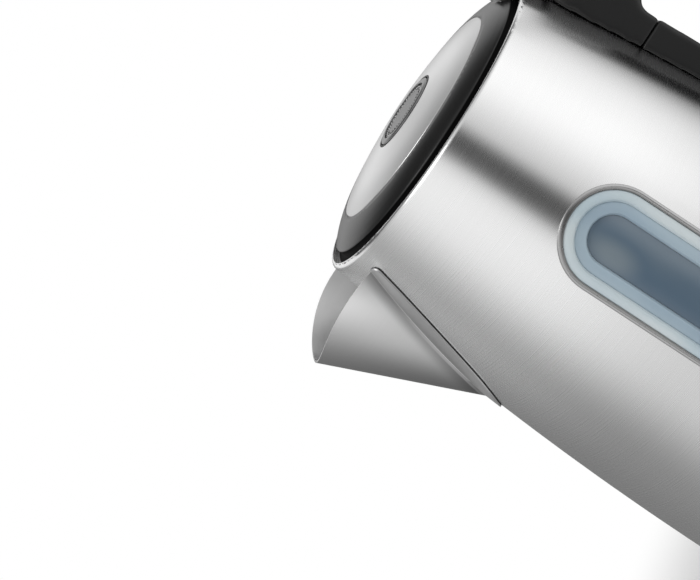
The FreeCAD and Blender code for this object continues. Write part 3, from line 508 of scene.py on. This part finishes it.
# %% Rounded mouldings
def softened(node, voxel, passes, slot):
    """Replace a CAD moulding by a copy with every edge rounded."""
    bm = cad_copy(node)
    made = new_piece(node + "_moulded", bm, slot, body_of(node))
    remesh = made.modifiers.new("skin", "REMESH")
    remesh.mode, remesh.voxel_size, remesh.use_smooth_shade = "VOXEL", voxel, True
    smooth = made.modifiers.new("round", "SMOOTH")
    smooth.factor, smooth.iterations = 0.5, passes
    graph = bpy.context.evaluated_depsgraph_get()
    baked = bpy.data.meshes.new_from_object(made.evaluated_get(graph))
    made.modifiers.clear()
    old = made.data
    made.data = baked
    bpy.data.meshes.remove(old)
    for face in made.data.polygons:
        face.use_smooth = True
    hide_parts(node)
    print(made.name, "faces", len(made.data.polygons))


softened("handle_shell", 0.0009, 14, "black_gloss")
softened("handle_spine", 0.0008, 5, "black_gloss")
softened("hinge_block", 0.0004, 8, "black_gloss")
softened("switch_lever", 0.0004, 10, "black_gloss")

# %% [markdown]
# The window's frame and its plates are oblong rings that follow the curved side. Each is
# swept from a small profile of half widths and heights above the skin, which lets its
# edges be rounded and gives the frame a fine groove, as a pressed metal frame has.

# %% Window rings
WINDOW_HIGH, WINDOW_LOW = 0.1414, 0.0700   # heights of the two arc centres


def oblong(half, height, arc_steps=40, straight_steps=24):
    """Points round the window at a half width, at a height above the skin."""
    flat = []
    for i in range(arc_steps + 1):
        a = math.pi * i / arc_steps
        flat.append((half * math.cos(a), WINDOW_HIGH + half * math.sin(a)))
    for i in range(1, straight_steps):
        flat.append((-half, WINDOW_HIGH + (WINDOW_LOW - WINDOW_HIGH) * i / straight_steps))
    for i in range(arc_steps + 1):
        a = math.pi + math.pi * i / arc_steps
        flat.append((half * math.cos(a), WINDOW_LOW + half * math.sin(a)))
    for i in range(1, straight_steps):
        flat.append((half, WINDOW_LOW + (WINDOW_HIGH - WINDOW_LOW) * i / straight_steps))
    return [(x, -math.sqrt((side_r(z) + height) ** 2 - x * x), z) for x, z in flat]


def oblong_ring(node, profile, slot):
    """Ring swept round the window from (half width, height) points given in millimetres."""
    bm = bmesh.new()
    rings = [[bm.verts.new(p) for p in oblong(w * MM, h * MM)] for w, h in profile]
    for one, two in zip(rings, rings[1:] + rings[:1]):
        for i in range(len(one)):
            j = (i + 1) % len(one)
            bm.faces.new((one[i], one[j], two[j], two[i]))
    bmesh.ops.recalc_face_normals(bm, faces=bm.faces)
    made = new_piece(node + "_ring", bm, slot, body_of(node))
    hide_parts(node)
    print(made.name, "faces", len(made.data.polygons))


# Half width and height above the skin, in millimetres, round each ring's section.
BEZEL = [(18.7, -2.4), (18.7, 0.1), (19.8, 0.1), (19.8, 0.50), (19.68, 0.74), (19.42, 0.88),
         (18.95, 0.88), (18.85, 0.55), (18.55, 0.55), (18.45, 0.88), (18.1, 0.88), (17.9, 0.78),
         (17.8, 0.55), (17.8, -2.4)]
LENS = [(17.7, -2.4), (17.7, 0.05), (17.62, 0.25), (17.4, 0.35), (14.7, 0.35), (14.35, 0.22),
        (13.75, -0.75), (13.6, -1.0), (13.6, -2.4)]
STEP = [(13.57, -3.4), (13.57, -1.15), (13.35, -1.0), (10.0, -1.0), (9.7, -1.1), (9.0, -2.3),
        (8.9, -2.6), (8.9, -3.4)]
oblong_ring("window_bezel", BEZEL, "steel_trim")
oblong_ring("window_lens", LENS, "frosted")
oblong_ring("window_step", STEP, "mid_blue")

# %% [markdown]
# The lid's black ring is turned with a sharp outer edge. A real moulding has a small
# radius there, which catches a thin line of light all round, so that one edge is bevelled.

# %% Lid ring edge
RING_EDGE_R, RING_EDGE_Z = 0.0559, Z_RIM + 0.00136


def eased_ring():
    """Copy of the lid ring with a small radius on its outer edge."""
    bm = cad_copy("lid_ring")

    def on_edge(v):
        return abs(math.hypot(v.co.x, v.co.y) - RING_EDGE_R) < 0.0002 and abs(v.co.z - RING_EDGE_Z) < 0.0001

    edges = [e for e in bm.edges if all(on_edge(v) for v in e.verts)]
    bmesh.ops.bevel(bm, geom=edges, offset=0.00035, offset_type="OFFSET", segments=3, profile=0.5,
                    affect="EDGES", clamp_overlap=True, material=-1)
    made = new_piece("lid_ring_eased", bm, "black_gloss", "lid")
    made.data.materials[0] = ring_black_and_painted_shade
    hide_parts("lid_ring")
    print("ring edges bevelled", len(edges))


eased_ring()

# %% [markdown]
# The shell, spout and lid plate are sheet metal with rolled or pressed edges. Their CAD
# meshes come with flat facets, so welded copies are shaded smooth and keep only the creases.

# %% Sheet metal
def smooth_sheet(node, crease=32):
    """Replace a sheet metal node by a welded copy that is smooth between its creases."""
    made = new_piece(node + "_sheet", cad_copy(node), slot_of[node], body_of(node), crease)
    made.data.materials[0] = own_finish.get(node, finishes[slot_of[node]])
    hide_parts(node)
    return made


def paint_spout_inside_shade(spout_sheet):
    """The spout's inner wall takes a darker copy of the steel, as painted shade."""
    mesh = spout_sheet.data
    mesh.materials.append(spout_inside_painted_shade)
    inner = 0
    for face in mesh.polygons:
        spot, normal = face.center, face.normal
        if abs(spot.y) > 0.004:
            inward = normal.y * spot.y < 0
        else:
            inward = normal.x > 0.3 and normal.z > 0
        if inward:
            face.material_index = 1
            inner += 1
    print("inner faces", inner)


smooth_sheet("body_shell")
smooth_sheet("base_ring")
smooth_sheet("lid_plate", 15)
paint_spout_inside_shade(smooth_sheet("spout", 16))

# %% [markdown]
# The set is a pale table, white far away, and soft light from all round. The jug is a
# mirror for the room, so the light comes in tall bands: bright on both sides, falling
# towards the back, with one narrow dark gap straight ahead that draws the dark line down
# the steel. The bands are written as stops of brightness against compass angle.

# %% Room light
ROOM_BANDS = (   # compass angle from -Y towards +X, and brightness
    (-180, 0.20), (-150, 0.27), (-126, 0.33), (-106, 0.40), (-96, 0.46), (-86, 0.55),
    (-76, 0.70), (-66, 0.86), (-56, 0.98), (-40, 1.03), (-26, 1.0), (-17, 0.86), (-12, 0.30),
    (-7, 0.05), (4, 0.05), (8, 0.35), (12, 0.72), (24, 0.90), (34, 1.10), (46, 1.25),
    (60, 1.27), (74, 1.18), (86, 1.08), (98, 0.84), (104, 0.60), (110, 0.34), (115, 0.26),
    (122, 0.46), (132, 0.50), (150, 0.20), (180, 0.20))
ROOM_PEAK = 1.3
ROOM_CEILING = 0.74
BACK_GLOW = 1.0           # low behind the kettle: what the lid plate mirrors
BACK_CAP = 0.06           # higher up there: what the black ring mirrors
ROOM_TURN = 1.8           # the bands are laid out about the camera, which stands this far round


def room():
    """World light in bands, white to the camera."""
    world = bpy.data.worlds.new("room")
    bpy.context.scene.world = world
    world.use_nodes = True
    t = Tree(world.node_tree)
    way = t.add("ShaderNodeTexCoord").out("Generated")
    axes = t.add("ShaderNodeSeparateXYZ", None, way)
    compass = axes.out("X").atan2(-1.0 * axes.out("Y")) / math.tau + 0.5
    stops = [((a + ROOM_TURN + 180) / 360, grey(b / ROOM_PEAK)) for a, b in ROOM_BANDS]
    ramp = t.add("ShaderNodeValToRGB", {"stops": stops}, compass).out("Color")
    height = axes.out("Z")
    overhead = t.smooth(height, 0.45, 0.85)
    bands = t.mix(overhead, ramp, grey(ROOM_CEILING / ROOM_PEAK))
    behind = t.smooth(axes.out("Y"), 0.1, 0.45)
    low_glow = behind * t.smooth(height, 0.02, 0.12) * (1.0 - t.smooth(height, 0.46, 0.63))
    dark_cap = behind * t.smooth(height, 0.46, 0.63) * (1.0 - t.smooth(height, 0.88, 0.97))
    bands = t.mix(low_glow, bands, grey(BACK_GLOW / ROOM_PEAK))
    bands = t.mix(dark_cap, bands, grey(BACK_CAP / ROOM_PEAK))
    path = t.add("ShaderNodeLightPath")
    seen = path.out("Is Camera Ray").maximum(path.out("Is Transmission Ray"))
    lit = t.add("ShaderNodeBackground", None, Color=bands, Strength=ROOM_PEAK).out()
    white = t.add("ShaderNodeBackground", None, Color=grey(1.0), Strength=1.0).out()
    both = t.add("ShaderNodeMixShader", None, seen, lit, white).out()
    output = t.add("ShaderNodeOutputWorld")
    t.put(output.node.inputs["Surface"], both)


room()

# %% [markdown]
# The table top is pale. Near the kettle it is a plain matt surface that takes the shadow,
# and further out it turns into the same white as the background.

# %% Table top
FLOOR_NEAR, FLOOR_FAR = 0.10, 0.19


def table_top():
    """Wide disc that takes the shadow near the kettle and turns white further out."""
    bm = bmesh.new()
    bmesh.ops.create_circle(bm, cap_ends=True, segments=96, radius=6.0)
    mesh = bpy.data.meshes.new("table_top")
    bm.to_mesh(mesh)
    bm.free()
    top = bpy.data.objects.new("table_top", mesh)
    bpy.context.collection.objects.link(top)
    made, t = material("table_top")
    spot, x, y, z = t.where()
    away = t.add("ShaderNodeVectorMath", {"operation": "LENGTH"}, spot).out("Value")
    far = t.smooth(away, FLOOR_NEAR, FLOOR_FAR)
    path = t.add("ShaderNodeLightPath")
    seen = path.out("Is Camera Ray").maximum(path.out("Is Transmission Ray"))
    paint = t.add("ShaderNodeBsdfDiffuse", None, Color=grey(0.90)).out()
    glow = t.add("ShaderNodeEmission", None, Color=grey(1.0), Strength=1.0).out()
    t.finish(t.add("ShaderNodeMixShader", None, far * seen, paint, glow).out())
    mesh.materials.append(made)
    top.visible_glossy = False


table_top()


def soft_lamp(name, size, power, place, aim):
    """Round area lamp aimed at a point."""
    data = bpy.data.lights.new(name, "AREA")
    data.shape, data.size, data.energy = "DISK", size, power
    lamp = bpy.data.objects.new(name, data)
    bpy.context.collection.objects.link(lamp)
    lamp.location = place
    lamp.rotation_euler = (Vector(aim) - Vector(place)).to_track_quat("-Z", "Y").to_euler()


soft_lamp("overhead_lamp", 0.9, 6.0, (-0.5, -0.5, 1.5), (0, 0, 0.1))

# %% [markdown]
# The camera stands in front of the window, a little above the rim, and is rolled so that
# the kettle leans as it does when it is poured. Its axes are written as the rows of a
# turn, and its lens is long, which keeps the circles nearly round.

# %% Camera
CAMERA_AT = (-0.03544, -0.95769, Z_RIM + 0.1504)
CAMERA_RIGHT = (0.54711, -0.12175, -0.82816)
CAMERA_UP = (0.83648, 0.11614, 0.53554)
CAMERA_BACK = (0.03098, -0.98574, 0.16539)
lens = bpy.data.cameras.new("camera")
lens.sensor_width, lens.lens = 36.0, 136.29
lens.clip_start = 0.05
camera = bpy.data.objects.new("camera", lens)
bpy.context.collection.objects.link(camera)
turn = Matrix((CAMERA_RIGHT, CAMERA_UP, CAMERA_BACK)).transposed()
camera.matrix_world = Matrix.Translation(CAMERA_AT) @ turn.to_4x4()
bpy.context.scene.camera = camera
bpy.context.scene.view_settings.view_transform = "Standard"

# %% [markdown]
# The last cell brings the view layer up to date.

# %% Bring the scene up to date
bpy.context.view_layer.update()
